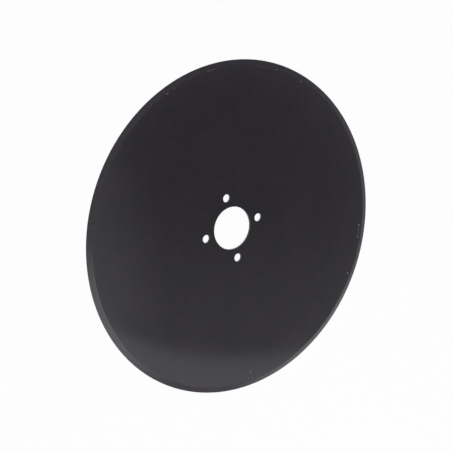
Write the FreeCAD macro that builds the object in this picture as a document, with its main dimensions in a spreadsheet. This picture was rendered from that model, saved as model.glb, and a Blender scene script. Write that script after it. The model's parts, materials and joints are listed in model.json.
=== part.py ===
"""Flat disc blade for a disc harrow or seeder: one plate, a bore, four bolt holes and a one-sided edge.

The blade is cut from flat plate, drilled for its hub and turned to a bevel on its front face.
It lies on its flat back face, with the bore's axis on +Z, the bevelled face up and the origin
at the middle of the back face. One bolt hole is on +X. All lengths are in millimetres.
"""
import FreeCAD, Part
import math
import os

import Sketcher

DOCUMENT_NAME = "disc_blade_model"
BLADE_NODE = "disc_blade"

# The driving dimensions: alias in the sheet, value, what it is.
DIMENSIONS = [
    ("disc_dia", 450.0, "outer diameter over the cutting edge"),
    ("plate_thick", 3.0, "thickness of the plate"),
    ("edge_land", 0.3, "height of the blunt land left at the rim"),
    ("bevel_angle", 20.0, "slope of the cutting bevel from the face, degrees"),
    ("bore_dia", 58.0, "centre bore, clears the bearing hub"),
    ("bolt_pcd", 85.0, "diameter of the circle that the bolt holes are on"),
    ("bolt_hole_dia", 11.0, "bolt holes, clear an M10 bolt"),
    ("bolt_count", 4, "number of bolt holes"),
    ("edge_break", 0.15, "deburring chamfer at the bore and the bolt holes"),
]

# How far the bevel's cutting profile reaches past the rim, so that it cuts clean through.
TOOL_OVERRUN = 1.0
# Two edges' radii count as the same below this difference.
RADIUS_TOLERANCE = 1e-4
# Largest share of a volume by which a built solid may miss its worked-out volume.
VOLUME_TOLERANCE = 1e-4


def make_sheet(doc):
    """Writes the driving dimensions into a spreadsheet, one row each, and returns it."""
    sheet = doc.addObject("Spreadsheet::Sheet", "sizes")
    for row, (alias, value, meaning) in enumerate(DIMENSIONS, start=1):
        sheet.set(f"A{row}", alias)
        sheet.set(f"B{row}", str(value))
        sheet.set(f"C{row}", meaning)
        sheet.setAlias(f"B{row}", alias)
    doc.recompute()
    return sheet


def origin_plane(body, role):
    """Returns the body's own origin plane of that role, such as XY_Plane."""
    return next(item for item in body.Origin.OriginFeatures if item.Role == role)


def new_sketch(body, name, role):
    """Adds an empty sketch to the body, lying on one of its origin planes."""
    sketch = body.newObject("Sketcher::SketchObject", name)
    sketch.AttachmentSupport = [(origin_plane(body, role), "")]
    sketch.MapMode = "FlatFace"
    return sketch


def add_circle(sketch, name, radius, expression):
    """Draws a circle on the sketch's origin and binds its diameter to the sheet."""
    circle = sketch.addGeometry(Part.Circle(FreeCAD.Vector(), FreeCAD.Vector(0, 0, 1), radius))
    sketch.addConstraint(Sketcher.Constraint("Coincident", circle, 3, -1, 1))
    bind(sketch, Sketcher.Constraint("Diameter", circle, 2 * radius), name, expression)
    return circle


def bind(sketch, constraint, name, expression):
    """Adds a named constraint to the sketch and drives its value from the sheet."""
    index = sketch.addConstraint(constraint)
    sketch.renameConstraint(index, name)
    sketch.setExpression(f"Constraints.{name}", expression)


def pad_blank(body, sheet):
    """Pads the plain round plate, from its back face at Z = 0 upwards."""
    sketch = new_sketch(body, "blank_outline", "XY_Plane")
    add_circle(sketch, "disc_dia", sheet.disc_dia / 2, "sizes.disc_dia")
    pad = body.newObject("PartDesign::Pad", "blank")
    pad.Profile = sketch
    pad.setExpression("Length", "sizes.plate_thick")
    return pad


def turn_bevel(body, sheet):
    """Turns the cutting bevel away from the front face, with a triangle carried round the axis.

    The triangle's long side passes through the top of the rim's land, at the bevel's angle,
    and meets the front face at the bevel's inner edge.
    """
    rim = sheet.disc_dia / 2
    slope = math.tan(math.radians(sheet.bevel_angle))
    face_height = sheet.plate_thick
    width = (face_height - sheet.edge_land) / slope
    inner = FreeCAD.Vector(rim - width, face_height)
    outer_top = FreeCAD.Vector(rim + TOOL_OVERRUN, face_height)
    outer_low = FreeCAD.Vector(rim + TOOL_OVERRUN, sheet.edge_land - TOOL_OVERRUN * slope)

    sketch = new_sketch(body, "bevel_section", "XZ_Plane")
    top = sketch.addGeometry(Part.LineSegment(inner, outer_top))
    side = sketch.addGeometry(Part.LineSegment(outer_top, outer_low))
    long_side = sketch.addGeometry(Part.LineSegment(outer_low, inner))
    corner = sketch.addGeometry(Part.Point(FreeCAD.Vector(rim, sheet.edge_land)), True)
    for first, second in ((top, side), (side, long_side), (long_side, top)):
        sketch.addConstraint(Sketcher.Constraint("Coincident", first, 2, second, 1))
    sketch.addConstraint(Sketcher.Constraint("Horizontal", top))
    sketch.addConstraint(Sketcher.Constraint("Vertical", side))
    sketch.addConstraint(Sketcher.Constraint("PointOnObject", corner, 1, long_side))
    height = Sketcher.Constraint("DistanceY", -1, 1, top, 1, face_height)
    bind(sketch, height, "face_height", "sizes.plate_thick")
    land = Sketcher.Constraint("DistanceY", -1, 1, corner, 1, sheet.edge_land)
    bind(sketch, land, "land_height", "sizes.edge_land")
    reach = Sketcher.Constraint("DistanceX", -1, 1, corner, 1, rim)
    bind(sketch, reach, "rim_radius", "sizes.disc_dia / 2")
    overrun = Sketcher.Constraint("DistanceX", corner, 1, side, 1, TOOL_OVERRUN)
    sketch.addConstraint(overrun)
    angle = Sketcher.Constraint("Angle", top, 1, long_side, 2, -math.radians(sheet.bevel_angle))
    bind(sketch, angle, "slope", "-1 deg * sizes.bevel_angle")

    groove = body.newObject("PartDesign::Groove", "bevel")
    groove.Profile = sketch
    groove.ReferenceAxis = (sketch, ["V_Axis"])
    groove.Angle = 360
    return groove


def cut_bore(body, sheet):
    """Cuts the centre bore through the plate, upwards from the back face."""
    sketch = new_sketch(body, "bore_outline", "XY_Plane")
    add_circle(sketch, "bore_dia", sheet.bore_dia / 2, "sizes.bore_dia")
    bore = body.newObject("PartDesign::Pocket", "bore")
    bore.Profile = sketch
    bore.Type = "ThroughAll"
    bore.Reversed = True
    return bore


def drill_bolt_holes(body, sheet):
    """Drills one bolt hole on +X and repeats it round the bore's axis."""
    sketch = new_sketch(body, "bolt_hole_centre", "XY_Plane")
    centre = FreeCAD.Vector(sheet.bolt_pcd / 2, 0, 0)
    radius = sheet.bolt_hole_dia / 2
    circle = sketch.addGeometry(Part.Circle(centre, FreeCAD.Vector(0, 0, 1), radius))
    sketch.addConstraint(Sketcher.Constraint("PointOnObject", circle, 3, -1))
    reach = Sketcher.Constraint("DistanceX", -1, 1, circle, 3, centre.x)
    bind(sketch, reach, "pcd_radius", "sizes.bolt_pcd / 2")
    size = Sketcher.Constraint("Diameter", circle, sheet.bolt_hole_dia)
    bind(sketch, size, "hole_dia", "sizes.bolt_hole_dia")

    body.Document.recompute()
    hole = body.newObject("PartDesign::Hole", "bolt_hole")
    hole.Profile = sketch
    hole.ThreadType = "None"
    hole.DepthType = "ThroughAll"
    hole.Reversed = True
    hole.setExpression("Diameter", "sizes.bolt_hole_dia")
    body.Document.recompute()

    pattern = body.newObject("PartDesign::PolarPattern", "bolt_circle")
    pattern.Originals = [hole]
    pattern.Axis = (sketch, ["N_Axis"])
    pattern.Angle = 360
    pattern.setExpression("Occurrences", "sizes.bolt_count")
    body.Tip = pattern
    return pattern


def break_edges(body, base, sheet):
    """Chamfers both rims of the bore and of every bolt hole, found by their radius."""
    radii = (sheet.bore_dia / 2, sheet.bolt_hole_dia / 2)
    names = []
    for number, edge in enumerate(base.Shape.Edges, start=1):
        is_round = isinstance(edge.Curve, Part.Circle)
        if is_round and any(abs(edge.Curve.Radius - r) < RADIUS_TOLERANCE for r in radii):
            names.append(f"Edge{number}")
    chamfer = body.newObject("PartDesign::Chamfer", "deburr")
    chamfer.Base = (base, names)
    chamfer.setExpression("Size", "sizes.edge_break")
    body.Tip = chamfer
    return chamfer


def make_blade(doc, sheet):
    """Builds the blade's body, feature by feature, and checks what each one takes away."""
    body = doc.addObject("PartDesign::Body", BLADE_NODE)
    body.Label = BLADE_NODE
    body.Placement = FreeCAD.Placement()
    blank = pad_blank(body, sheet)
    doc.recompute()
    bevel = turn_bevel(body, sheet)
    doc.recompute()
    bore = cut_bore(body, sheet)
    doc.recompute()
    bolt_circle = drill_bolt_holes(body, sheet)
    doc.recompute()
    deburr = break_edges(body, bolt_circle, sheet)
    doc.recompute()

    thick = sheet.plate_thick
    bolt_volume = sheet.bolt_count * cylinder_volume(sheet.bolt_hole_dia / 2, thick)
    check_cut(blank, bevel, bevel_volume(sheet))
    check_cut(bevel, bore, cylinder_volume(sheet.bore_dia / 2, thick))
    check_cut(bore, bolt_circle, bolt_volume)
    check_cut(bolt_circle, deburr, chamfer_volume(sheet))
    return body


def cylinder_volume(radius, height):
    """Volume of a plain cylinder."""
    return math.pi * radius ** 2 * height


def bevel_volume(sheet):
    """Volume that the bevel takes off: its triangular section carried round its centroid."""
    depth = sheet.plate_thick - sheet.edge_land
    width = depth / math.tan(math.radians(sheet.bevel_angle))
    centroid_radius = sheet.disc_dia / 2 - width / 3
    return width * depth / 2 * 2 * math.pi * centroid_radius


def chamfer_volume(sheet):
    """Volume that the deburring takes off, at both ends of the bore and the bolt holes."""
    section = sheet.edge_break ** 2 / 2
    offset = sheet.edge_break / 3
    bore_round = 2 * math.pi * (sheet.bore_dia / 2 + offset)
    hole_round = 2 * math.pi * (sheet.bolt_hole_dia / 2 + offset)
    return 2 * section * (bore_round + sheet.bolt_count * hole_round)


def check_cut(before, after, expected):
    """Stops the build if a feature took away another volume than it should."""
    removed = before.Shape.Volume - after.Shape.Volume
    if abs(removed - expected) > VOLUME_TOLERANCE * expected:
        raise ValueError(f"{after.Name} removes {removed:.3f} mm3, not {expected:.3f} mm3")


def check_document(doc):
    """Stops the build if any object of the document failed or has no valid shape."""
    for item in doc.Objects:
        if "Invalid" in item.State or "Error" in item.State:
            raise ValueError(f"{item.Name} failed: {item.State}")
    for item in doc.findObjects("PartDesign::Body"):
        if item.Shape.isNull() or not item.Shape.isValid():
            raise ValueError(f"{item.Name} has no valid shape")
        if len(item.Shape.Solids) != 1:
            raise ValueError(f"{item.Name} isn't one solid")


def main():
    """Builds the document and writes the blade's solid to parts/."""
    doc = FreeCAD.newDocument(DOCUMENT_NAME)
    sheet = make_sheet(doc)
    body = make_blade(doc, sheet)
    check_document(doc)

    os.makedirs("parts", exist_ok=True)
    body.Shape.exportStep(os.path.join("parts", f"{body.Label}.step"))
    size = body.Shape.BoundBox
    print(f"{body.Label}: {size.XLength:.2f} x {size.YLength:.2f} x {size.ZLength:.2f} mm,"
          f" {body.Shape.Volume:.1f} mm3, {len(body.Shape.Faces)} faces")


main()
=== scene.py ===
"""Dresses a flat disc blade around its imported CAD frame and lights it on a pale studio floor.

The blade is one hardened steel plate, cut round, drilled for its hub, turned to a bevel on its
front face and dipped in thin black electrodeposited paint. It lies on its back face with the
bevel up. The script replaces the CAD solid with a finer shell of the same size, gives each of
the shell's surfaces its own finish, and sets up the floor, the lamps and the camera.

Lengths are in metres, unless a name ends in _mm. Bearings are degrees anticlockwise, seen from
above, from the direction in which the camera looks along the floor.
"""

import json
import logging
import math
from dataclasses import dataclass, field
from enum import Enum

import bmesh
import bpy
import numpy as np
from mathutils import Matrix, Vector

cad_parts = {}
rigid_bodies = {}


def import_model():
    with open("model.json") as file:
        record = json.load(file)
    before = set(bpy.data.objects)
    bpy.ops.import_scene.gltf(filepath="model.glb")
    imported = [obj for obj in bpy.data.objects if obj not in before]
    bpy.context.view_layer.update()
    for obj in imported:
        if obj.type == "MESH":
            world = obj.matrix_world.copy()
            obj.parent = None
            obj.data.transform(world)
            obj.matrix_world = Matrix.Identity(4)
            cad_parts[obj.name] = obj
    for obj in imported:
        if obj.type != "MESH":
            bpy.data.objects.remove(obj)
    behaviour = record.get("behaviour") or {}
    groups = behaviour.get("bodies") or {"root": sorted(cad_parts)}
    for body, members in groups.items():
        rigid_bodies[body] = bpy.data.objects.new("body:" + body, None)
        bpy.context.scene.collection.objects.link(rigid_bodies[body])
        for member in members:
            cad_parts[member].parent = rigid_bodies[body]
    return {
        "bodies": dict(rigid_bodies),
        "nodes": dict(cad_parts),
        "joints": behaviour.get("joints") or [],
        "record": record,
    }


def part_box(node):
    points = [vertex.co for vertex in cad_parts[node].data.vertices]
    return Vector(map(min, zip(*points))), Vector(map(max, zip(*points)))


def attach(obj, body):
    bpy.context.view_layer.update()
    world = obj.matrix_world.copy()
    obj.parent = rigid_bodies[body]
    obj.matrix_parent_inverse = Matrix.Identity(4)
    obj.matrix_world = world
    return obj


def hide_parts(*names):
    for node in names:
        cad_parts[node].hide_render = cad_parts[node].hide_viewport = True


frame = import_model()

BLADE_NODE = "disc_blade"
BODY = "root"
MM = 0.001
NOISE_MIDDLE = (0.5, 0.5, 0.5)
# A mark fades in between these two shares of its half size, from its outside to its inside.
MARK_OUTSIDE = 1.25
MARK_INSIDE = 0.55

log = logging.getLogger("disc_blade")


# --- Small helpers -------------------------------------------------------------------------


def linear(hex_colour: str) -> tuple[float, float, float, float]:
    """Turns an sRGB colour written as hex into the linear colour that shaders use.

    Args:
        hex_colour: six hex digits after a hash, such as "#25242a".

    Returns:
        Red, green and blue between 0 and 1 on the linear scale, and 1 for alpha.
    """
    levels = [int(hex_colour[at:at + 2], 16) / 255 for at in (1, 3, 5)]
    red, green, blue = (c / 12.92 if c <= 0.04045 else ((c + 0.055) / 1.055) ** 2.4 for c in levels)
    return red, green, blue, 1.0


def add_node(tree: bpy.types.NodeTree, kind: str, inputs: dict | None = None,
             **settings: object) -> bpy.types.Node:
    """Adds a shader node, sets its properties, and fills or links its inputs.

    Args:
        tree: the node tree to add to.
        kind: the node's type name.
        inputs: input name or index to a plain value, or to the output socket to link from.
        **settings: properties of the node itself, such as operation.

    Returns:
        The new node.
    """
    made = tree.nodes.new(kind)
    for name, value in settings.items():
        setattr(made, name, value)
    for key, value in (inputs or {}).items():
        if isinstance(value, bpy.types.NodeSocket):
            tree.links.new(value, made.inputs[key])
        else:
            made.inputs[key].default_value = value
    return made


def per_metre(size_mm: float) -> float:
    """Returns the texture scale at which a pattern's features are size_mm across."""
    return 1.0 / (size_mm * MM)


def new_material(name: str) -> bpy.types.Material:
    """Makes an empty node material with only its output node.

    Args:
        name: the material's name.

    Returns:
        The new material.
    """
    material = bpy.data.materials.new(name)
    material.use_nodes = True
    material.node_tree.nodes.clear()
    material.node_tree.nodes.new("ShaderNodeOutputMaterial")
    return material


def finish_surface(material: bpy.types.Material, shader: bpy.types.Node) -> bpy.types.Material:
    """Links a shader to the material's output.

    Args:
        material: the material to finish.
        shader: the node whose first output is the surface.

    Returns:
        The same material.
    """
    output = material.node_tree.nodes["Material Output"]
    material.node_tree.links.new(shader.outputs[0], output.inputs["Surface"])
    return material


def polar(radius: float, angle: float, height: float = 0.0) -> Vector:
    """Returns the point at a radius and an angle in radians about the bore's axis."""
    return Vector((radius * math.cos(angle), radius * math.sin(angle), height))


# --- Sizes ---------------------------------------------------------------------------------


@dataclass(frozen=True)
class BladeSizes:
    """The blade's dimensions: those that the frame states, and the edge's own."""

    radius: float
    thickness: float
    bore_radius: float
    bolt_circle_radius: float
    bolt_hole_radius: float
    bolt_count: int
    edge_land: float = 0.3 * MM
    bevel_angle: float = math.radians(20.0)
    deburr: float = 0.15 * MM

    @classmethod
    def from_frame(cls, packed: dict) -> "BladeSizes":
        """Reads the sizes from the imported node's box and the record's mounts.


        Returns:
            The blade's sizes in metres.
        """
        low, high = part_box(BLADE_NODE)
        mounts = {mount["name"]: mount["dims"] for mount in packed["record"]["mounts"]}
        bolts = mounts["bolt_circle"]
        return cls(
            radius=high.x,
            thickness=high.z - low.z,
            bore_radius=mounts["bore"]["r_mm"] * MM,
            bolt_circle_radius=bolts["pcd_mm"] / 2 * MM,
            bolt_hole_radius=bolts["hole_r_mm"] * MM,
            bolt_count=bolts["count"],
        )

    @property
    def bevel_width(self) -> float:
        """How far the bevel reaches in from the rim."""
        return (self.thickness - self.edge_land) / math.tan(self.bevel_angle)

    @property
    def ridge_radius(self) -> float:
        """Radius of the ridge where the bevel meets the front face."""
        return self.radius - self.bevel_width

    @property
    def hub_radius(self) -> float:
        """Radius of the hub zone, which keeps the bolt holes midway between its two edges."""
        return 2 * self.bolt_circle_radius - self.bore_radius


# --- Surfaces worked out on grids ----------------------------------------------------------


def eased(start: float, stop: float, steps: int) -> np.ndarray:
    """Returns steps + 1 values from start to stop, crowded towards both ends by a cosine."""
    share = (1 - np.cos(np.linspace(0, math.pi, steps + 1))) / 2
    return start + (stop - start) * share


def rounded_path(corners: np.ndarray, radii: list[float], run_steps: list[int],
                 arc_steps: int = 6) -> np.ndarray:
    """Lays a path through corners and rounds each inner corner with a tangent arc.

    At an inner corner the arc touches both runs at radius * tan(turn / 2) from the corner.
    Its points are centre + radius * (cos, sin) of an angle that goes evenly through the turn.

    Args:
        corners: the path's corners, (count, 2), as radius from the axis and height.
        radii: one rounding radius for each inner corner.
        run_steps: into how many pieces each straight run is divided, one for each run.
        arc_steps: into how many pieces each arc is divided.

    Returns:
        The path's points, (points, 2), in order.
    """
    ways = np.diff(corners, axis=0)
    ways /= np.linalg.norm(ways, axis=1, keepdims=True)
    pieces, start = [], corners[0]
    for index, radius in enumerate(radii, start=1):
        way_in, way_out = ways[index - 1], ways[index]
        turn = math.atan2(way_in[0] * way_out[1] - way_in[1] * way_out[0], way_in @ way_out)
        reach = radius * math.tan(abs(turn) / 2)
        stop = corners[index] - reach * way_in
        side = math.copysign(1.0, turn)
        to_centre = side * np.array([-way_in[1], way_in[0]])
        centre = stop + radius * to_centre
        spread = math.atan2(-to_centre[1], -to_centre[0]) + np.linspace(0, turn, arc_steps + 1)
        arc = centre + radius * np.column_stack([np.cos(spread), np.sin(spread)])
        share = eased(0, 1, run_steps[index - 1])[:-1, None]
        pieces += [start + share * (stop - start), arc[:-1]]
        start = arc[-1]
    share = eased(0, 1, run_steps[-1])[:, None]
    pieces.append(start + share * (corners[-1] - start))
    return np.vstack(pieces)


def turned_grid(path: np.ndarray, angles: np.ndarray, centre: tuple[float, float]) -> np.ndarray:
    """Carries a path of radius and height round an upright axis.

    Each point is (centre x + radius * cos angle, centre y + radius * sin angle, height).

    Args:
        path: (rows, 2) radius and height.
        angles: (columns,) angles in radians, anticlockwise.
        centre: where the axis meets the floor.

    Returns:
        (rows, columns, 3) points.
    """
    radius, height = path[:, 0, None], path[:, 1, None]
    x = centre[0] + radius * np.cos(angles)
    y = centre[1] + radius * np.sin(angles)
    return np.stack([x, y, np.broadcast_to(height, x.shape)], axis=-1)


@dataclass
class Shell:
    """A closed surface that is collected grid by grid and then welded into one mesh."""

    points: list[np.ndarray] = field(default_factory=list)
    faces: list[np.ndarray] = field(default_factory=list)
    finishes: list[np.ndarray] = field(default_factory=list)
    weld_distance: float = 1e-7

    def add(self, grid: np.ndarray, finish: np.ndarray | int, turned_over: bool = False) -> None:
        """Adds a grid whose columns close on themselves, as quads.

        Rows i and i + 1 and columns j and j + 1 make one quad. Its outside is where the
        rows' direction crossed with the columns' direction points.

        Args:
            grid: (rows, columns, 3) points.
            finish: the material index, for the whole grid or for each row of quads.
            turned_over: True swaps the quads' two sides.
        """
        rows, columns = grid.shape[:2]
        first = sum(len(block) for block in self.points)
        index = first + np.arange(rows * columns).reshape(rows, columns)
        beside = np.roll(index, -1, axis=1)
        quads = np.stack([index[:-1], index[1:], beside[1:], beside[:-1]], axis=-1).reshape(-1, 4)
        if turned_over:
            quads = quads[:, ::-1]
        per_row = np.broadcast_to(np.asarray(finish, dtype=np.int32), (rows - 1,))
        self.points.append(grid.reshape(-1, 3))
        self.faces.append(quads)
        self.finishes.append(np.repeat(per_row, columns))

    def to_object(self, name: str) -> bpy.types.Object:
        """Welds the grids and returns them as one smooth-shaded object.

        Args:
            name: the object's name.

        Returns:
            The object, linked to the scene, at the origin.
        """
        points = np.vstack(self.points).astype(np.float32)
        faces = np.vstack(self.faces).astype(np.int32)
        mesh = bpy.data.meshes.new(name)
        mesh.vertices.add(len(points))
        mesh.vertices.foreach_set("co", points.ravel())
        mesh.loops.add(faces.size)
        mesh.loops.foreach_set("vertex_index", faces.ravel())
        mesh.polygons.add(len(faces))
        mesh.polygons.foreach_set("loop_start", np.arange(len(faces), dtype=np.int32) * 4)
        mesh.polygons.foreach_set("material_index", np.concatenate(self.finishes))
        mesh.update(calc_edges=True)
        welded = bmesh.new()
        welded.from_mesh(mesh)
        bmesh.ops.remove_doubles(welded, verts=welded.verts, dist=self.weld_distance)
        welded.to_mesh(mesh)
        welded.free()
        mesh.polygons.foreach_set("use_smooth", np.ones(len(mesh.polygons), dtype=bool))
        mesh.validate()
        made = bpy.data.objects.new(name, mesh)
        bpy.context.scene.collection.objects.link(made)
        return made


# --- Finishes ------------------------------------------------------------------------------


class Surface(Enum):
    """The blade's kinds of surface, in the order of its material slots."""

    ROLLED_FACE = 0
    TURNED_BEVEL = 1
    CUT_WALL = 2


class Mark(Enum):
    """What a mark on the paint draws: pale steel for scrapes and painted highlights on the ridge,
    dark for stains and painted shade along the ridge.
    """

    # Pale steel: scrapes through the paint, and painted highlights on the ridge.
    SCRAPE = "scraped through to steel"
    # Dark: stains, and painted shade along the ridge.
    STAIN = "stained dark"


@dataclass(frozen=True)
class PaintMark:
    """One mark on the front face: where it is, how large, and which way it runs.

    Its place is an angle about the bore's axis in degrees and a radius. Its heading is how
    far it is turned from running along the rim, in degrees.
    """

    kind: Mark
    angle: float
    radius_mm: float
    length_mm: float
    width_mm: float
    heading: float = 0.0
    strength: float = 1.0

    def mask(self, tree: bpy.types.NodeTree, place: bpy.types.NodeSocket) -> bpy.types.NodeSocket:
        """Draws the mark as a soft ellipse: 1 inside, 0 outside, times its strength.

        Args:
            tree: the material's node tree.
            place: the socket that gives the point, in metres.

        Returns:
            The mask's socket.
        """
        around = math.radians(self.angle)
        centre = polar(self.radius_mm * MM, around)
        turn = around + math.pi / 2 + math.radians(self.heading)
        half = (self.length_mm / 2 * MM, self.width_mm / 2 * MM, 1.0)
        own = add_node(tree, "ShaderNodeMapping", {
            "Vector": place, "Location": centre, "Rotation": (0.0, 0.0, turn), "Scale": half,
        }, vector_type="TEXTURE")
        reach = add_node(tree, "ShaderNodeVectorMath", {0: own.outputs[0]}, operation="LENGTH")
        return add_node(tree, "ShaderNodeMapRange", {
            "Value": reach.outputs["Value"], "From Min": MARK_OUTSIDE, "From Max": MARK_INSIDE,
            "To Min": 0.0, "To Max": self.strength,
        }, interpolation_type="SMOOTHSTEP").outputs[0]


# Pale and dark marks, nearly all of them beside the ridge. The pale ones are scrapes through to
#  steel and painted highlights on the ridge; the dark ones are stains, and along the ridge painted
#  shade.
PAINT_MARKS = (
    PaintMark(Mark.SCRAPE, angle=338.9, radius_mm=213.3, length_mm=17.0, width_mm=0.6,
              heading=-1.0, strength=0.5),
    PaintMark(Mark.SCRAPE, angle=341.1, radius_mm=212.9, length_mm=2.8, width_mm=1.5, strength=0.9),
    PaintMark(Mark.SCRAPE, angle=336.7, radius_mm=213.5, length_mm=3.4, width_mm=1.4, strength=0.9),
    PaintMark(Mark.SCRAPE, angle=322.7, radius_mm=212.6, length_mm=2.2, width_mm=1.8, strength=0.9),
    PaintMark(Mark.SCRAPE, angle=46.8, radius_mm=215.9, length_mm=2.2, width_mm=1.4, strength=0.85),
    PaintMark(Mark.SCRAPE, angle=39.5, radius_mm=213.9, length_mm=2.0, width_mm=1.4, strength=0.25),
    PaintMark(Mark.SCRAPE, angle=58.7, radius_mm=217.1, length_mm=4.0, width_mm=1.6, strength=0.35),
    PaintMark(Mark.SCRAPE, angle=65.2, radius_mm=216.6, length_mm=24.0, width_mm=2.4, strength=0.07),
    PaintMark(Mark.SCRAPE, angle=86.3, radius_mm=217.4, length_mm=15.0, width_mm=1.0, strength=0.22),
    PaintMark(Mark.SCRAPE, angle=87.8, radius_mm=217.4, length_mm=2.4, width_mm=1.5, strength=0.35),
    PaintMark(Mark.SCRAPE, angle=102.5, radius_mm=217.0, length_mm=5.0, width_mm=1.2, strength=0.25),
    PaintMark(Mark.SCRAPE, angle=105.6, radius_mm=216.5, length_mm=3.4, width_mm=1.4, strength=0.5),
    PaintMark(Mark.SCRAPE, angle=266.0, radius_mm=205.6, length_mm=2.4, width_mm=1.6, strength=0.7),
    PaintMark(Mark.SCRAPE, angle=266.5, radius_mm=215.7, length_mm=2.4, width_mm=1.5, strength=0.5),
    PaintMark(Mark.SCRAPE, angle=264.9, radius_mm=215.0, length_mm=2.0, width_mm=1.2, strength=0.3),
    PaintMark(Mark.STAIN, angle=168.5, radius_mm=217.0, length_mm=4.0, width_mm=3.5),
    PaintMark(Mark.STAIN, angle=177.1, radius_mm=206.9, length_mm=3.5, width_mm=3.0),
    PaintMark(Mark.STAIN, angle=158.3, radius_mm=218.3, length_mm=4.0, width_mm=3.0),
    PaintMark(Mark.STAIN, angle=191.0, radius_mm=215.5, length_mm=9.0, width_mm=1.8, strength=0.7),
    PaintMark(Mark.STAIN, angle=195.4, radius_mm=215.7, length_mm=5.0, width_mm=1.6, strength=0.7),
    PaintMark(Mark.STAIN, angle=202.2, radius_mm=215.7, length_mm=3.0, width_mm=2.5, strength=0.5),
    PaintMark(Mark.STAIN, angle=207.7, radius_mm=215.4, length_mm=6.5, width_mm=2.4),
)


@dataclass(frozen=True)
class BlackPaint:
    """Black electrodeposited paint, about 25 micrometres of epoxy baked on in a dip line.

    It gives a deep black with a satin gloss and a faint violet cast. It follows the steel
    below so closely that each surface shows how it was made: rolled, turned or cut.

    A pair of levels says between which values of its noise a pattern goes from none to full.
    Its pale marks are scrapes through to steel and painted highlights on the ridge; its dark marks
    are stains and painted shade along the ridge. A mark's roughness is what a full mark adds to the
    paint's own.
    """

    name: str
    thin: str = "#2b282d"
    thick: str = "#252327"
    # Pale steel grey for scrapes and chips, which also paints highlights on the ridge.
    steel: str = "#8f8b8c"
    # Dark grey for stains, which also paints shade along the ridge.
    stain: str = "#141314"
    roughness: float = 0.18
    roughness_spread: float = 0.03
    ior: float = 1.5
    cloud_mm: float = 70.0
    mottle_mm: float = 10.0
    mottle_share: float = 1.8
    patch_roughness: float = 0.6
    wander_mm: float = 3.0
    wander_reach_mm: float = 0.8
    chip_mm: float = 2.6
    chipped: float = 0.0
    chip_levels: tuple[float, float] = (0.58, 0.74)
    sheen_levels: tuple[float, float] = (0.3, 0.7)
    scrape_roughness: float = 0.25
    scrape_depth_mm: float = 0.03
    peel_mm: float = 2.4
    peel_height_mm: float = 0.004
    texture_mm: float = 1.0
    texture_height_mm: float = 0.0

    def texture_height(self, tree: bpy.types.NodeTree, place: bpy.types.NodeSocket) -> bpy.types.Node:
        """Gives the height of the steel's own texture, which each surface has its own way.

        Args:
            tree: the material's node tree.
            place: the socket that gives the point, in metres.

        Returns:
            The node whose first output is the height, about 0 to 1.
        """
        raise NotImplementedError

    def marks(self, tree: bpy.types.NodeTree, place: bpy.types.NodeSocket,
              kind: Mark) -> bpy.types.NodeSocket:
        """Adds up the masks of all marks of one kind.

        Args:
            tree: the material's node tree.
            place: the socket that gives the point, in metres.
            kind: which marks to draw.

        Returns:
            The socket of the total, at most 1.
        """
        masks = [mark.mask(tree, place) for mark in PAINT_MARKS if mark.kind is kind]
        total = masks[0]
        for mask in masks[1:]:
            total = add_node(tree, "ShaderNodeMath", {0: total, 1: mask},
                             operation="MAXIMUM").outputs[0]
        return total

    def material(self) -> bpy.types.Material:
        """Builds the paint's material.

        Returns:
            A material that reads the object's own coordinates.
        """
        made = new_material(self.name)
        tree = made.node_tree
        place = add_node(tree, "ShaderNodeTexCoord").outputs["Object"]
        wander = add_node(tree, "ShaderNodeTexNoise", {
            "Vector": place, "Scale": per_metre(self.wander_mm), "Detail": 2.0})
        nudge = add_node(tree, "ShaderNodeVectorMath", {
            0: wander.outputs["Color"], 1: NOISE_MIDDLE}, operation="SUBTRACT")
        reach = self.wander_reach_mm * MM
        moved = add_node(tree, "ShaderNodeVectorMath", {
            0: nudge.outputs[0], 1: (reach, reach, 0.0), 2: place},
            operation="MULTIPLY_ADD").outputs[0]

        cloud = add_node(tree, "ShaderNodeTexNoise", {
            "Vector": place, "Scale": per_metre(self.cloud_mm), "Detail": 3.0,
            "Roughness": self.patch_roughness})
        mottle = add_node(tree, "ShaderNodeTexNoise", {
            "Vector": place, "Scale": per_metre(self.mottle_mm), "Detail": 2.0,
            "Roughness": self.patch_roughness})
        uneven = add_node(tree, "ShaderNodeMath", {
            0: mottle.outputs["Fac"], 1: self.mottle_share, 2: cloud.outputs["Fac"]},
            operation="MULTIPLY_ADD")
        thinness = add_node(tree, "ShaderNodeMath", {
            0: uneven.outputs[0], 1: self.mottle_share / 2}, operation="SUBTRACT")
        film = add_node(tree, "ShaderNodeMix", {
            "Factor": thinness.outputs[0], 6: linear(self.thick), 7: linear(self.thin)},
            data_type="RGBA")
        # Darkens the film at the dark marks: stains, and painted shade along the ridge.
        stained = add_node(tree, "ShaderNodeMix", {
            "Factor": self.marks(tree, moved, Mark.STAIN), 6: film.outputs[2],
            7: linear(self.stain)}, data_type="RGBA")
        # Pale marks: scrapes through to steel and painted highlights on the ridge; on the bevel
        # random chips join them.
        scrape = self.marks(tree, moved, Mark.SCRAPE)
        if self.chipped > 0:
            pits = add_node(tree, "ShaderNodeTexNoise", {
                "Vector": place, "Scale": per_metre(self.chip_mm), "Detail": 2.0, "Roughness": 0.7})
            none, full = self.chip_levels
            chips = add_node(tree, "ShaderNodeMapRange", {
                "Value": pits.outputs["Fac"], "From Min": none, "From Max": full,
                "To Min": 0.0, "To Max": self.chipped})
            scrape = add_node(tree, "ShaderNodeMath", {0: scrape, 1: chips.outputs[0]},
                              operation="MAXIMUM").outputs[0]
        # Mixes in steel grey at the pale marks: scrapes, chips and painted highlights on the ridge.
        colour = add_node(tree, "ShaderNodeMix", {
            "Factor": scrape, 6: stained.outputs[2], 7: linear(self.steel)}, data_type="RGBA")

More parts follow.
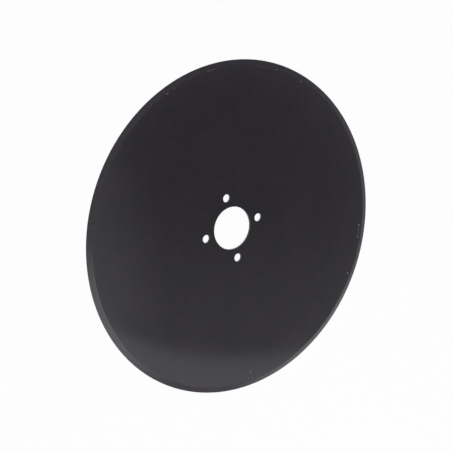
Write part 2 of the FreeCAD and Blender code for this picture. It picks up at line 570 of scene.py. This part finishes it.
        none, full = self.sheen_levels
        sheen = add_node(tree, "ShaderNodeMapRange", {
            "Value": cloud.outputs["Fac"], "From Min": none, "From Max": full,
            "To Min": self.roughness - self.roughness_spread,
            "To Max": self.roughness + self.roughness_spread})
        worn = add_node(tree, "ShaderNodeMath", {
            0: scrape, 1: self.scrape_roughness, 2: sheen.outputs[0]}, operation="MULTIPLY_ADD")

        peel = add_node(tree, "ShaderNodeTexNoise", {
            "Vector": place, "Scale": per_metre(self.peel_mm), "Detail": 1.0})
        steel = self.texture_height(tree, place)
        relief = add_node(tree, "ShaderNodeBump", {
            "Height": peel.outputs["Fac"], "Distance": self.peel_height_mm * MM, "Strength": 1.0})
        relief = add_node(tree, "ShaderNodeBump", {
            "Height": steel.outputs[0], "Distance": self.texture_height_mm * MM, "Strength": 1.0,
            "Normal": relief.outputs[0]})
        relief = add_node(tree, "ShaderNodeBump", {
            "Height": scrape, "Distance": self.scrape_depth_mm * MM, "Strength": 1.0,
            "Normal": relief.outputs[0]}, invert=True)

        shader = add_node(tree, "ShaderNodeBsdfPrincipled", {
            "Base Color": colour.outputs[2], "Roughness": worn.outputs[0], "IOR": self.ior,
            "Normal": relief.outputs[0]})
        return finish_surface(made, shader)


@dataclass(frozen=True)
class PaintOnRolledPlate(BlackPaint):
    """The paint over hot-rolled plate, pickled clean: an even, fine-grained face."""

    name: str = "black_ecoat_on_rolled_plate"
    texture_mm: float = 0.9
    texture_height_mm: float = 0.003

    def texture_height(self, tree: bpy.types.NodeTree, place: bpy.types.NodeSocket) -> bpy.types.Node:
        """Gives a fine even grain, drawn at 0.9 mm because the real 0.1 mm would not show."""
        return add_node(tree, "ShaderNodeTexNoise", {
            "Vector": place, "Scale": per_metre(self.texture_mm), "Detail": 2.0})


@dataclass(frozen=True)
class PaintOnTurnedBevel(BlackPaint):
    """The paint over the turned bevel: fine rings run round it, and the film is thinner."""

    name: str = "black_ecoat_on_turned_bevel"
    thin: str = "#2c2830"
    thick: str = "#25222a"
    roughness: float = 0.26
    mottle_mm: float = 3.5
    mottle_share: float = 3.0
    chipped: float = 0.14
    texture_mm: float = 0.6
    texture_height_mm: float = 0.006

    def texture_height(self, tree: bpy.types.NodeTree, place: bpy.types.NodeSocket) -> bpy.types.Node:
        """Gives rings of uneven height: a noise that depends on the radius alone.

        Args:
            tree: the material's node tree.
            place: the socket that gives the point, in metres.

        Returns:
            The noise node.
        """
        flat = add_node(tree, "ShaderNodeVectorMath", {0: place, 1: (1.0, 1.0, 0.0)},
                        operation="MULTIPLY")
        radius = add_node(tree, "ShaderNodeVectorMath", {0: flat.outputs[0]}, operation="LENGTH")
        return add_node(tree, "ShaderNodeTexNoise", {
            "W": radius.outputs["Value"], "Scale": per_metre(self.texture_mm), "Detail": 2.0},
            noise_dimensions="1D")


@dataclass(frozen=True)
class PaintOnCutWall(BlackPaint):
    """The paint over a cut wall, in the bore and the bolt holes: upright cutting lines."""

    name: str = "black_ecoat_on_cut_wall"
    roughness: float = 0.3
    texture_mm: float = 0.5
    texture_height_mm: float = 0.02
    height_share: float = 0.08

    def texture_height(self, tree: bpy.types.NodeTree, place: bpy.types.NodeSocket) -> bpy.types.Node:
        """Gives lines along the bore's axis: a noise that hardly changes with height."""
        drawn = add_node(tree, "ShaderNodeVectorMath", {
            0: place, 1: (1.0, 1.0, self.height_share)},
            operation="MULTIPLY")
        return add_node(tree, "ShaderNodeTexNoise", {
            "Vector": drawn.outputs[0], "Scale": per_metre(self.texture_mm), "Detail": 2.0})


# --- The blade -----------------------------------------------------------------------------


@dataclass
class Blade:
    """The painted blade: one closed shell in the three finishes of its surfaces."""

    sizes: BladeSizes
    ridge_round: float = 5.0 * MM
    edge_round: float = 0.12 * MM
    sector_arc_steps: int = 128
    sector_side_steps: int = 16
    blend_shares: tuple[float, ...] = (
        0, 0.004, 0.02, 0.06, 0.13, 0.25, 0.4, 0.6, 0.8, 0.95, 0.996, 1)

    @property
    def sector_half_angle(self) -> float:
        """Half the angle of the hub sector that one bolt hole has to itself."""
        return math.pi / self.sizes.bolt_count

    @property
    def ring_angles(self) -> np.ndarray:
        """The angles of all columns round the bore's axis, from 0, anticlockwise."""
        columns = self.sector_arc_steps * self.sizes.bolt_count
        return np.arange(columns) * (2 * math.pi / columns)

    def rim_section(self) -> np.ndarray:
        """Returns the section outside the hub zone, from the front face round to the back."""
        sizes = self.sizes
        corners = np.array([
            (sizes.hub_radius, sizes.thickness),
            (sizes.ridge_radius, sizes.thickness),
            (sizes.radius, sizes.edge_land),
            (sizes.radius, 0.0),
            (sizes.hub_radius, 0.0),
        ])
        return rounded_path(corners, [self.ridge_round, self.edge_round, self.edge_round],
                            run_steps=[16, 6, 1, 12], arc_steps=8)

    def wall_section(self, radius: float) -> np.ndarray:
        """Lays a hole's wall with its deburred rims, from the back face to the front.

        Args:
            radius: the hole's radius.

        Returns:
            The wall's points, (points, 2), as radius from the hole's axis and height.
        """
        top, deburr = self.sizes.thickness, self.sizes.deburr
        corners = np.array([
            (radius + deburr, 0.0),
            (radius, deburr),
            (radius, top - deburr),
            (radius + deburr, top),
        ])
        soft = deburr / 3
        return rounded_path(corners, [soft, soft], run_steps=[2, 4, 2], arc_steps=3)

    def hub_sector(self, height: float) -> tuple[np.ndarray, np.ndarray]:
        """Covers the flat hub sector round one bolt hole, the one on +X.

        In the plane of radius and angle about the bore's axis, the sector is a rectangle.
        Each point is (1 - share) * hole point + share * rectangle point, in that plane, and is
        then turned back into x and y. The hole point that goes with a rectangle point is
        halfway between the one that faces it and the one at an even spacing.

        Args:
            height: the height of the face to cover.

        Returns:
            The (rows, columns, 3) grid, and the angles of its columns about the hole's axis.
        """
        sizes, half_angle = self.sizes, self.sector_half_angle
        hole = sizes.bolt_hole_radius + sizes.deburr
        inner, outer = sizes.bore_radius + sizes.deburr, sizes.hub_radius
        sweep = np.linspace(-half_angle, half_angle, self.sector_arc_steps, endpoint=False)
        inwards = np.linspace(outer, inner, self.sector_side_steps, endpoint=False)
        outwards = np.linspace(inner, outer, self.sector_side_steps, endpoint=False)
        arc, side = np.ones_like(sweep), np.ones_like(inwards)
        edge_radius = np.concatenate([outer * arc, inwards, inner * arc, outwards])
        edge_angle = np.concatenate([sweep, half_angle * side, -sweep, -half_angle * side])

        centre = sizes.bolt_circle_radius
        facing = np.unwrap(np.arctan2(centre * edge_angle, edge_radius - centre))
        even = facing[0] + np.arange(len(facing)) * (2 * math.pi / len(facing))
        about = (facing + even) / 2
        x, y = centre + hole * np.cos(about), hole * np.sin(about)
        share = np.array(self.blend_shares)[:, None]
        radius = (1 - share) * np.hypot(x, y) + share * edge_radius
        angle = (1 - share) * np.arctan2(y, x) + share * edge_angle
        flat = np.stack([radius * np.cos(angle), radius * np.sin(angle),
                         np.full(radius.shape, height)], axis=-1)
        return flat, about

    def build(self) -> bpy.types.Object:
        """Makes the blade's shell.

        Returns:
            The object, with its place in its mesh and its material slots still empty.
        """
        sizes, shell = self.sizes, Shell()
        section = self.rim_section()
        on_bevel = (section[:-1, 0] > sizes.ridge_radius) & (section[1:, 1] > 0)
        finish = np.where(on_bevel, Surface.TURNED_BEVEL.value, Surface.ROLLED_FACE.value)
        shell.add(turned_grid(section, self.ring_angles, (0, 0)), finish)
        bore = self.wall_section(sizes.bore_radius)
        shell.add(turned_grid(bore, self.ring_angles, (0, 0)), Surface.CUT_WALL.value)

        front, about = self.hub_sector(sizes.thickness)
        back, _ = self.hub_sector(0.0)
        wall = turned_grid(self.wall_section(sizes.bolt_hole_radius), about,
                           (sizes.bolt_circle_radius, 0))
        for number in range(sizes.bolt_count):
            turn = np.array(Matrix.Rotation(2 * self.sector_half_angle * number, 3, "Z")).T
            shell.add(front @ turn, Surface.ROLLED_FACE.value)
            shell.add(back @ turn, Surface.ROLLED_FACE.value, turned_over=True)
            shell.add(wall @ turn, Surface.CUT_WALL.value)
        return shell.to_object("painted_disc_blade")

    def dress(self, piece: bpy.types.Object) -> None:
        """Gives each of the shell's surfaces its finish.

        Args:
            piece: the shell that build() made.
        """
        finishes = {
            Surface.ROLLED_FACE: PaintOnRolledPlate(),
            Surface.TURNED_BEVEL: PaintOnTurnedBevel(),
            Surface.CUT_WALL: PaintOnCutWall(),
        }
        for surface in Surface:
            piece.data.materials.append(finishes[surface].material())

    def place(self, piece: bpy.types.Object) -> None:
        """Ties the shell to the CAD frame, in place of the plain solid.

        Args:
            piece: the shell that build() made.
        """
        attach(piece, BODY)
        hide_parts(BLADE_NODE)


# --- Studio --------------------------------------------------------------------------------


@dataclass(frozen=True)
class Viewpoint:
    """The camera: a long lens that looks down on the lying blade, rolled past upright."""

    azimuth: float = 144.66
    elevation: float = 53.18
    distance_in_radii: float = 14.413
    aim_in_radii: float = 0.0395
    roll: float = 108.78
    lens_mm: float = 195.3
    sensor_mm: float = 36.0

    def bearing(self, degrees: float) -> float:
        """Turns a bearing, counted from the camera's own direction, into a row angle in radians."""
        return math.radians(self.azimuth + 180.0 + degrees)

    def towards(self, bearing: float, elevation: float) -> Vector:
        """Returns the unit vector that points along a bearing and an elevation."""
        rise = math.radians(elevation)
        return polar(math.cos(rise), self.bearing(bearing), math.sin(rise))

    def build(self, radius: float) -> bpy.types.Object:
        """Makes the camera and sets it as the scene's.

        Args:
            radius: the blade's outer radius.

        Returns:
            The camera's object.
        """
        data = bpy.data.cameras.new("long_lens")
        data.lens = self.lens_mm
        data.sensor_width = self.sensor_mm
        camera = bpy.data.objects.new("camera", data)
        back = self.towards(180.0, self.elevation)
        aim = self.towards(180.0, 0.0) * self.aim_in_radii * radius
        camera.location = aim + back * self.distance_in_radii * radius
        level = (-back).to_track_quat("-Z", "Y").to_matrix().to_4x4()
        turned = level @ Matrix.Rotation(math.radians(self.roll), 4, "Z")
        camera.rotation_euler = turned.to_euler()
        bpy.context.scene.collection.objects.link(camera)
        bpy.context.scene.camera = camera
        return camera


@dataclass(frozen=True)
class Softbox:
    """A square soft lamp that faces the blade from a bearing, an elevation and a distance.

    Radiance is how bright its front is, where 1 is white.
    """

    name: str
    bearing: float
    elevation: float
    distance: float
    size: float
    radiance: float
    colour: str = "#fefcff"

    def build(self, viewpoint: Viewpoint) -> bpy.types.Object:
        """Makes the lamp.

        Args:
            viewpoint: the camera that the bearing is counted from.

        Returns:
            The lamp's object.
        """
        data = bpy.data.lights.new(self.name, "AREA")
        data.shape = "SQUARE"
        data.size = self.size
        data.energy = self.radiance * math.pi * self.size ** 2
        data.color = linear(self.colour)[:3]
        lamp = bpy.data.objects.new(self.name, data)
        away = viewpoint.towards(self.bearing, self.elevation)
        lamp.location = away * self.distance
        lamp.rotation_euler = away.to_track_quat("Z", "Y").to_euler()
        bpy.context.scene.collection.objects.link(lamp)
        return lamp


@dataclass(frozen=True)
class ToneStep:
    """A soft step in a board's tone, along a slightly bent line.

    The tone rises by rise over width_mm, and the step begins start_mm from the board's middle.
    Its heading is counted in degrees anticlockwise from the board's own X axis. Its line is
    part of a circle of bend_mm, and bends the other way where that is negative.
    """

    rise: float
    heading: float
    start_mm: float
    width_mm: float
    bend_mm: float = 3000.0

    def tone(self, tree: bpy.types.NodeTree, place: bpy.types.NodeSocket) -> bpy.types.NodeSocket:
        """Draws the step: a smooth rise with the distance from the middle of its circle.

        Args:
            tree: the material's node tree.
            place: the socket that gives the point on the board, in metres.

        Returns:
            The socket of the step's tone, from 0 to its rise.
        """
        bend = self.bend_mm * MM
        middle = polar(self.start_mm * MM - bend, math.radians(self.heading))
        reach = add_node(tree, "ShaderNodeVectorMath", {0: place, 1: middle}, operation="DISTANCE")
        return add_node(tree, "ShaderNodeMapRange", {
            "Value": reach.outputs["Value"],
            "From Min": abs(bend), "From Max": abs(bend + self.width_mm * MM),
            "To Min": 0.0, "To Max": self.rise}, interpolation_type="SMOOTHSTEP").outputs[0]


@dataclass(frozen=True)
class GradedBoard:
    """A round board over the far side of the blade, which the glossy face mirrors.

    It is dark in the middle, paler towards one side and below, with a white edge at the bottom
    and a thin paler strip at the upper edge. Only mirrored rays see it, so it shades nothing.
    Its Y axis points roughly up in the camera's view.
    """

    height: float = 0.2
    radius: float = 0.27
    turn: float = 15.2
    sides: int = 96
    core_tone: float = 0.195
    tint: str = "#fdfbff"
    steps: tuple[ToneStep, ...] = (
        ToneStep(rise=0.23, heading=270.0, start_mm=-48.0, width_mm=190.0),
        ToneStep(rise=0.80, heading=263.8, start_mm=180.5, width_mm=17.0, bend_mm=560.0),
        ToneStep(rise=0.43, heading=193.0, start_mm=105.0, width_mm=130.0, bend_mm=-450.0),
        ToneStep(rise=0.10, heading=13.0, start_mm=40.0, width_mm=250.0),
        ToneStep(rise=0.13, heading=65.0, start_mm=213.0, width_mm=16.0, bend_mm=223.0),
    )

    def material(self) -> bpy.types.Material:
        """Makes the board's glow: its darkest tone plus all its steps.

        Returns:
            The glowing material.
        """
        made = new_material("black_cloth_with_pale_edges")
        tree = made.node_tree
        place = add_node(tree, "ShaderNodeTexCoord").outputs["Object"]
        total: float | bpy.types.NodeSocket = self.core_tone
        for step in self.steps:
            total = add_node(tree, "ShaderNodeMath", {0: step.tone(tree, place), 1: total},
                             operation="ADD").outputs[0]
        glow = add_node(tree, "ShaderNodeEmission", {"Color": linear(self.tint), "Strength": total})
        return finish_surface(made, glow)

    def build(self, viewpoint: Viewpoint) -> bpy.types.Object:
        """Makes the board.

        Args:
            viewpoint: the camera whose mirrored view the board fills.

        Returns:
            The board's object.
        """
        around = np.linspace(0, 2 * math.pi, self.sides, endpoint=False)
        ring = np.column_stack([np.cos(around), np.sin(around), np.zeros(self.sides)])
        outline = self.radius * ring
        mesh = bpy.data.meshes.new("graded_board")
        mesh.from_pydata(outline.tolist(), [], [tuple(range(self.sides))])
        board = bpy.data.objects.new("graded_board", mesh)
        reach = self.height / math.tan(math.radians(viewpoint.elevation))
        board.location = polar(reach, viewpoint.bearing(0.0), self.height)
        board.rotation_euler = (0.0, 0.0, viewpoint.bearing(self.turn))
        for sight in ("camera", "diffuse", "transmission", "volume_scatter", "shadow"):
            setattr(board, f"visible_{sight}", False)
        bpy.context.scene.collection.objects.link(board)
        board.data.materials.append(self.material())
        return board


@dataclass(frozen=True)
class Studio:
    """The pale floor, the surrounding light with its dark cloth, the lamps and the board."""

    floor_size: float = 40.0
    floor_gap: float = 0.05 * MM
    floor_colour: str = "#fafafa"
    floor_white_share: float = 0.94
    surround_tint: str = "#fdfbff"
    surround_tone: float = 0.64
    cloth_tone: float = 0.38
    cloth_bearing: float = 40.0
    cloth_elevation: float = 48.0
    cloth_inner: float = 10.0
    cloth_outer: float = 32.0
    softboxes: tuple[Softbox, ...] = (
        Softbox("key_softbox", bearing=-67.0, elevation=57.0, distance=2.2, size=1.28, radiance=1.80),
        Softbox("low_softbox", bearing=-15.8, elevation=17.5, distance=2.6, size=1.17, radiance=0.86),
    )
    board: GradedBoard = GradedBoard()

    def build_floor(self) -> bpy.types.Object:
        """Makes the floor, a hair below the blade, and dresses it in matt white.

        Its camera, mirrored and refracted view is mostly plain white, and the rest is lit, so
        that the blade's shadow still shows.

        Returns:
            The floor's object.
        """
        half, drop = self.floor_size / 2, -self.floor_gap
        corners = np.array([
            (-half, -half, drop), (half, -half, drop), (half, half, drop), (-half, half, drop)])
        mesh = bpy.data.meshes.new("studio_floor")
        mesh.from_pydata(corners.tolist(), [], [(0, 1, 2, 3)])
        floor = bpy.data.objects.new("studio_floor", mesh)
        bpy.context.scene.collection.objects.link(floor)

        made = new_material("matt_white_laminate")
        tree = made.node_tree
        path = add_node(tree, "ShaderNodeLightPath")
        seen = add_node(tree, "ShaderNodeMath", {
            0: path.outputs["Is Camera Ray"], 1: path.outputs["Is Glossy Ray"]}, operation="MAXIMUM")
        seen = add_node(tree, "ShaderNodeMath", {
            0: seen.outputs[0], 1: path.outputs["Is Transmission Ray"]}, operation="MAXIMUM")
        share = add_node(tree, "ShaderNodeMath", {
            0: seen.outputs[0], 1: self.floor_white_share}, operation="MULTIPLY")
        matt = add_node(tree, "ShaderNodeBsdfDiffuse", {"Color": linear(self.floor_colour)})
        white = add_node(tree, "ShaderNodeEmission", {"Strength": 1.0})
        mixed = add_node(tree, "ShaderNodeMixShader", {
            0: share.outputs[0], 1: matt.outputs[0], 2: white.outputs[0]})
        floor.data.materials.append(finish_surface(made, mixed))
        return floor

    def build_surround(self, viewpoint: Viewpoint) -> None:
        """Sets the world to an even pale grey, with a soft-edged dark cloth on one side.

        The tone goes with the angle between a direction and the cloth's middle.

        Args:
            viewpoint: the camera that the cloth's bearing is counted from.
        """
        world = bpy.data.worlds.new("pale_surround_with_cloth")
        world.use_nodes = True
        tree = world.node_tree
        look = add_node(tree, "ShaderNodeTexCoord").outputs["Generated"]
        middle = viewpoint.towards(self.cloth_bearing, self.cloth_elevation)
        nearness = add_node(tree, "ShaderNodeVectorMath", {0: look, 1: middle},
                            operation="DOT_PRODUCT")
        tone = add_node(tree, "ShaderNodeMapRange", {
            "Value": nearness.outputs["Value"],
            "From Min": math.cos(math.radians(self.cloth_outer)),
            "From Max": math.cos(math.radians(self.cloth_inner)),
            "To Min": self.surround_tone, "To Max": self.cloth_tone},
            interpolation_type="SMOOTHSTEP")
        background = tree.nodes["Background"]
        background.inputs["Color"].default_value = linear(self.surround_tint)
        tree.links.new(tone.outputs[0], background.inputs["Strength"])
        bpy.context.scene.world = world

    def build(self, viewpoint: Viewpoint) -> None:
        """Makes the whole studio.

        Args:
            viewpoint: the camera that the lamps' bearings are counted from.
        """
        self.build_floor()
        self.build_surround(viewpoint)
        self.board.build(viewpoint)
        for softbox in self.softboxes:
            softbox.build(viewpoint)
            log.info("lamp %s", softbox.name)


# --- Everything in order -------------------------------------------------------------------


def main() -> None:
    """Builds the blade and the studio, and reports each piece."""
    logging.basicConfig(level=logging.INFO, format="%(name)s: %(message)s")
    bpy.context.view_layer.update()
    bpy.context.scene.view_settings.view_transform = "Standard"
    sizes = BladeSizes.from_frame(frame)
    viewpoint = Viewpoint()
    viewpoint.build(sizes.radius)
    Studio().build(viewpoint)

    blade = Blade(sizes)
    piece = blade.build()
    blade.dress(piece)
    blade.place(piece)
    log.info("%s: %d faces, bevel %.2f mm wide", piece.name, len(piece.data.polygons),
             sizes.bevel_width / MM)


if __name__ == "__main__":
    main()
